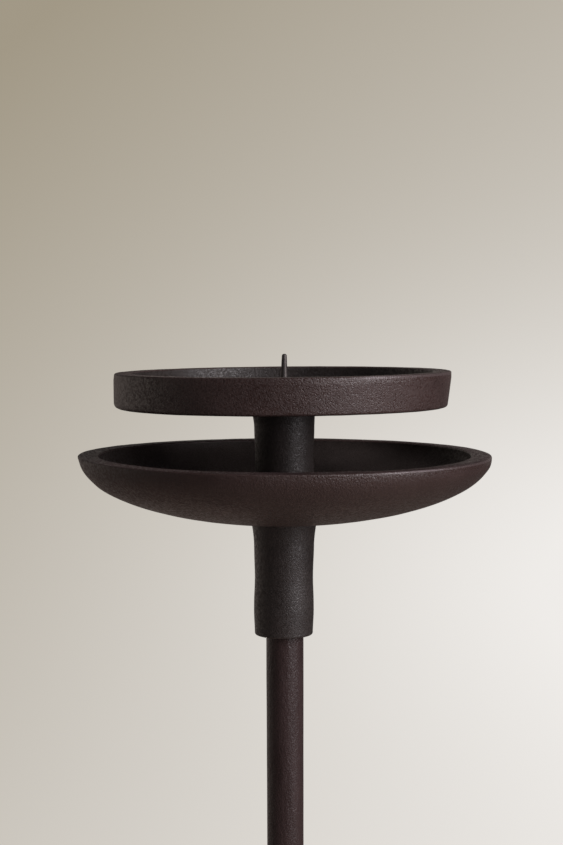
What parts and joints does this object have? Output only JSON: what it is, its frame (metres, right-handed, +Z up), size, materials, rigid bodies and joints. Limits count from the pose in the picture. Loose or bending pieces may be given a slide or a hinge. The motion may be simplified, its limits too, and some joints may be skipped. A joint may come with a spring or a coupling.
{
  "type": "tripod candle holder",
  "caption": "Tall candle holder: a spiked plate over a shallow drip bowl, on a round stem that stands on a tripod of curved cast legs.",
  "frame": {"origin": "on the stem's axis, at the level of the floor between the feet", "axes": "+Z up along the stem; +Y towards the rear leg; the front, as pictured, faces -Y"},
  "size_m": [0.2624, 0.2419, 0.6084],
  "materials": {
    "cast_brown": "sand cast, dark brown-black lacquer, matt",
    "stem_lacquer": "smooth dark brown lacquer, satin",
    "dark_steel": "blackened steel, satin",
    "plain_steel": "zinc plated",
    "pad_rubber": "matt black rubber"
  },
  "bodies": {
    "root": {"candle_spike": "dark_steel", "candle_plate": "cast_brown", "upper_neck": "cast_brown", "drip_bowl": "cast_brown", "lower_neck": "cast_brown", "tie_rod": "plain_steel", "stem": "stem_lacquer", "stem_top_insert": "plain_steel", "stem_bottom_insert": "plain_steel", "tripod_hub": "cast_brown", "hub_bolt": "dark_steel", "hub_washer": "plain_steel", "leg_rear": "cast_brown", "leg_left": "cast_brown", "leg_right": "cast_brown", "leg_screw_rear": "dark_steel", "leg_screw_left": "dark_steel", "leg_screw_right": "dark_steel", "foot_pad_rear": "pad_rubber", "foot_pad_left": "pad_rubber", "foot_pad_right": "pad_rubber"}
  },
  "joints": []
}
